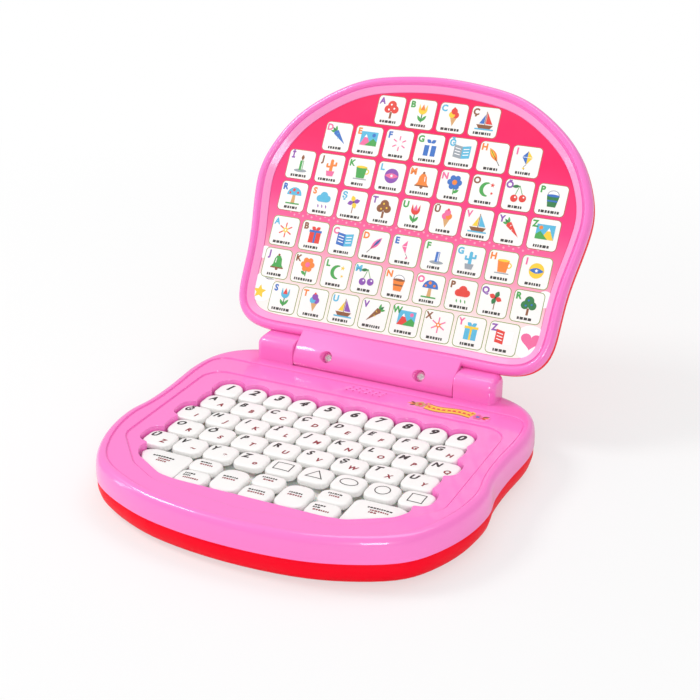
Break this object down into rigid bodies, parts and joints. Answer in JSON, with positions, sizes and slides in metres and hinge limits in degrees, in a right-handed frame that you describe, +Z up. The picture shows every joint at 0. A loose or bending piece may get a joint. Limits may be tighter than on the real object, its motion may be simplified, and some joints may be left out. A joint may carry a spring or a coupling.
{
  "type": "toy laptop computer",
  "caption": "Toy laptop with a curved two-tone case, rounded press keys and a hinged lid that holds a picture card of small tiles.",
  "frame": {"origin": "middle of the base's flat underside, on the ground", "axes": "+X to the user's right along the hinge line, +Y towards the hinge at the rear, +Z up; the lid is drawn open"},
  "size_m": [0.2202, 0.2886, 0.1866],
  "materials": {
    "pink_shell": "glossy moulded pink plastic",
    "red_shell": "glossy moulded red plastic",
    "silicone_mat": "milky translucent silicone rubber",
    "board": "glass-fibre circuit board with solder mask",
    "chip_resin": "black potting resin",
    "steel": "zinc-plated or nickel-plated steel",
    "speaker_metal": "pressed steel frame and magnet cup",
    "speaker_paper": "coated paper cone",
    "battery_jacket": "plain coloured battery jackets",
    "sticker": "glossy printed decal",
    "card": "glossy printed card",
    "white_keys": "satin-gloss white plastic with printed signs"
  },
  "bodies": {
    "base": {"base_bottom_shell": "red_shell", "base_top_shell": "pink_shell", "keypad_mat": "silicone_mat", "circuit_board": "board", "sound_chip": "chip_resin", "board_screws": "steel", "speaker_frame": "speaker_metal", "speaker_cone": "speaker_paper", "batteries": "battery_jacket", "battery_springs": "steel", "battery_plates": "steel", "case_screws": "steel", "deck_sticker": "sticker"},
    "lid": {"lid_front_shell": "pink_shell", "lid_back_shell": "red_shell", "picture_card": "card", "lid_screws": "steel", "hinge_pin_left": "steel", "hinge_pin_right": "steel"},
    "battery_door": {"battery_door": "red_shell", "door_screw": "steel"},
    "number_key_0": {"number_key_0": "white_keys"},
    "number_key_1": {"number_key_1": "white_keys"},
    "number_key_2": {"number_key_2": "white_keys"},
    "number_key_3": {"number_key_3": "white_keys"},
    "number_key_4": {"number_key_4": "white_keys"},
    "number_key_5": {"number_key_5": "white_keys"},
    "number_key_6": {"number_key_6": "white_keys"},
    "number_key_7": {"number_key_7": "white_keys"},
    "number_key_8": {"number_key_8": "white_keys"},
    "number_key_9": {"number_key_9": "white_keys"},
    "letter_keys_row_a": {"letter_keys_row_a": "white_keys"},
    "letter_keys_row_b": {"letter_keys_row_b": "white_keys"},
    "letter_keys_row_c": {"letter_keys_row_c": "white_keys"},
    "letter_key_d1": {"letter_key_d1": "white_keys"},
    "letter_key_d2": {"letter_key_d2": "white_keys"},
    "letter_key_d3": {"letter_key_d3": "white_keys"},
    "letter_key_d4": {"letter_key_d4": "white_keys"},
    "shape_key_rectangle": {"shape_key_rectangle": "white_keys"},
    "shape_key_triangle": {"shape_key_triangle": "white_keys"},
    "shape_key_oval": {"shape_key_oval": "white_keys"},
    "shape_key_circle": {"shape_key_circle": "white_keys"},
    "shape_key_square": {"shape_key_square": "white_keys"},
    "function_key_1": {"function_key_1": "white_keys"},
    "function_key_2": {"function_key_2": "white_keys"},
    "function_key_3": {"function_key_3": "white_keys"},
    "function_key_4": {"function_key_4": "white_keys"},
    "function_key_5": {"function_key_5": "white_keys"},
    "function_key_6": {"function_key_6": "white_keys"},
    "function_key_7": {"function_key_7": "white_keys"},
    "function_key_8": {"function_key_8": "white_keys"},
    "function_key_9": {"function_key_9": "white_keys"},
    "function_key_10": {"function_key_10": "white_keys"}
  },
  "joints": [
    {"name": "lid_hinge", "type": "hinge", "parent": "base", "child": "lid", "pos_m": [0, 0.0858, 0.0319], "axis": [1, 0, 0], "range_deg": [-8, 122]},
    {"name": "battery_door_release", "type": "slide", "parent": "base", "child": "battery_door", "axis": [0, 0, -1], "range_m": [0, 0.012]},
    {"name": "number_key_0_press", "type": "slide", "parent": "base", "child": "number_key_0", "axis": [0, 0, -1], "range_m": [0, 0.0012], "stiffness_N_per_m": 500},
    {"name": "number_key_1_press", "type": "slide", "parent": "base", "child": "number_key_1", "axis": [0, 0, -1], "range_m": [0, 0.0012], "stiffness_N_per_m": 500},
    {"name": "number_key_2_press", "type": "slide", "parent": "base", "child": "number_key_2", "axis": [0, 0, -1], "range_m": [0, 0.0012], "stiffness_N_per_m": 500},
    {"name": "number_key_3_press", "type": "slide", "parent": "base", "child": "number_key_3", "axis": [0, 0, -1], "range_m": [0, 0.0012], "stiffness_N_per_m": 500},
    {"name": "number_key_4_press", "type": "slide", "parent": "base", "child": "number_key_4", "axis": [0, 0, -1], "range_m": [0, 0.0012], "stiffness_N_per_m": 500},
    {"name": "number_key_5_press", "type": "slide", "parent": "base", "child": "number_key_5", "axis": [0, 0, -1], "range_m": [0, 0.0012], "stiffness_N_per_m": 500},
    {"name": "number_key_6_press", "type": "slide", "parent": "base", "child": "number_key_6", "axis": [0, 0, -1], "range_m": [0, 0.0012], "stiffness_N_per_m": 500},
    {"name": "number_key_7_press", "type": "slide", "parent": "base", "child": "number_key_7", "axis": [0, 0, -1], "range_m": [0, 0.0012], "stiffness_N_per_m": 500},
    {"name": "number_key_8_press", "type": "slide", "parent": "base", "child": "number_key_8", "axis": [0, 0, -1], "range_m": [0, 0.0012], "stiffness_N_per_m": 500},
    {"name": "number_key_9_press", "type": "slide", "parent": "base", "child": "number_key_9", "axis": [0, 0, -1], "range_m": [0, 0.0012], "stiffness_N_per_m": 500},
    {"name": "letter_keys_row_a_press", "type": "slide", "parent": "base", "child": "letter_keys_row_a", "axis": [0, 0, -1], "range_m": [0, 0.0012], "stiffness_N_per_m": 4000},
    {"name": "letter_keys_row_b_press", "type": "slide", "parent": "base", "child": "letter_keys_row_b", "axis": [0, 0, -1], "range_m": [0, 0.0012], "stiffness_N_per_m": 4500},
    {"name": "letter_keys_row_c_press", "type": "slide", "parent": "base", "child": "letter_keys_row_c", "axis": [0, 0, -1], "range_m": [0, 0.0012], "stiffness_N_per_m": 4000},
    {"name": "letter_key_d1_press", "type": "slide", "parent": "base", "child": "letter_key_d1", "axis": [0, 0, -1], "range_m": [0, 0.0012], "stiffness_N_per_m": 500},
    {"name": "letter_key_d2_press", "type": "slide", "parent": "base", "child": "letter_key_d2", "axis": [0, 0, -1], "range_m": [0, 0.0012], "stiffness_N_per_m": 500},
    {"name": "letter_key_d3_press", "type": "slide", "parent": "base", "child": "letter_key_d3", "axis": [0, 0, -1], "range_m": [0, 0.0012], "stiffness_N_per_m": 500},
    {"name": "letter_key_d4_press", "type": "slide", "parent": "base", "child": "letter_key_d4", "axis": [0, 0, -1], "range_m": [0, 0.0012], "stiffness_N_per_m": 500},
    {"name": "shape_key_rectangle_press", "type": "slide", "parent": "base", "child": "shape_key_rectangle", "axis": [0, 0, -1], "range_m": [0, 0.0012], "stiffness_N_per_m": 500},
    {"name": "shape_key_triangle_press", "type": "slide", "parent": "base", "child": "shape_key_triangle", "axis": [0, 0, -1], "range_m": [0, 0.0012], "stiffness_N_per_m": 500},
    {"name": "shape_key_oval_press", "type": "slide", "parent": "base", "child": "shape_key_oval", "axis": [0, 0, -1], "range_m": [0, 0.0012], "stiffness_N_per_m": 500},
    {"name": "shape_key_circle_press", "type": "slide", "parent": "base", "child": "shape_key_circle", "axis": [0, 0, -1], "range_m": [0, 0.0012], "stiffness_N_per_m": 500},
    {"name": "shape_key_square_press", "type": "slide", "parent": "base", "child": "shape_key_square", "axis": [0, 0, -1], "range_m": [0, 0.0012], "stiffness_N_per_m": 500},
    {"name": "function_key_1_press", "type": "slide", "parent": "base", "child": "function_key_1", "axis": [0, 0, -1], "range_m": [0, 0.0012], "stiffness_N_per_m": 500},
    {"name": "function_key_2_press", "type": "slide", "parent": "base", "child": "function_key_2", "axis": [0, 0, -1], "range_m": [0, 0.0012], "stiffness_N_per_m": 500},
    {"name": "function_key_3_press", "type": "slide", "parent": "base", "child": "function_key_3", "axis": [0, 0, -1], "range_m": [0, 0.0012], "stiffness_N_per_m": 500},
    {"name": "function_key_4_press", "type": "slide", "parent": "base", "child": "function_key_4", "axis": [0, 0, -1], "range_m": [0, 0.0012], "stiffness_N_per_m": 500},
    {"name": "function_key_5_press", "type": "slide", "parent": "base", "child": "function_key_5", "axis": [0, 0, -1], "range_m": [0, 0.0012], "stiffness_N_per_m": 500},
    {"name": "function_key_6_press", "type": "slide", "parent": "base", "child": "function_key_6", "axis": [0, 0, -1], "range_m": [0, 0.0012], "stiffness_N_per_m": 500},
    {"name": "function_key_7_press", "type": "slide", "parent": "base", "child": "function_key_7", "axis": [0, 0, -1], "range_m": [0, 0.0012], "stiffness_N_per_m": 500},
    {"name": "function_key_8_press", "type": "slide", "parent": "base", "child": "function_key_8", "axis": [0, 0, -1], "range_m": [0, 0.0012], "stiffness_N_per_m": 500},
    {"name": "function_key_9_press", "type": "slide", "parent": "base", "child": "function_key_9", "axis": [0, 0, -1], "range_m": [0, 0.0012], "stiffness_N_per_m": 500},
    {"name": "function_key_10_press", "type": "slide", "parent": "base", "child": "function_key_10", "axis": [0, 0, -1], "range_m": [0, 0.0012], "stiffness_N_per_m": 500}
  ]
}
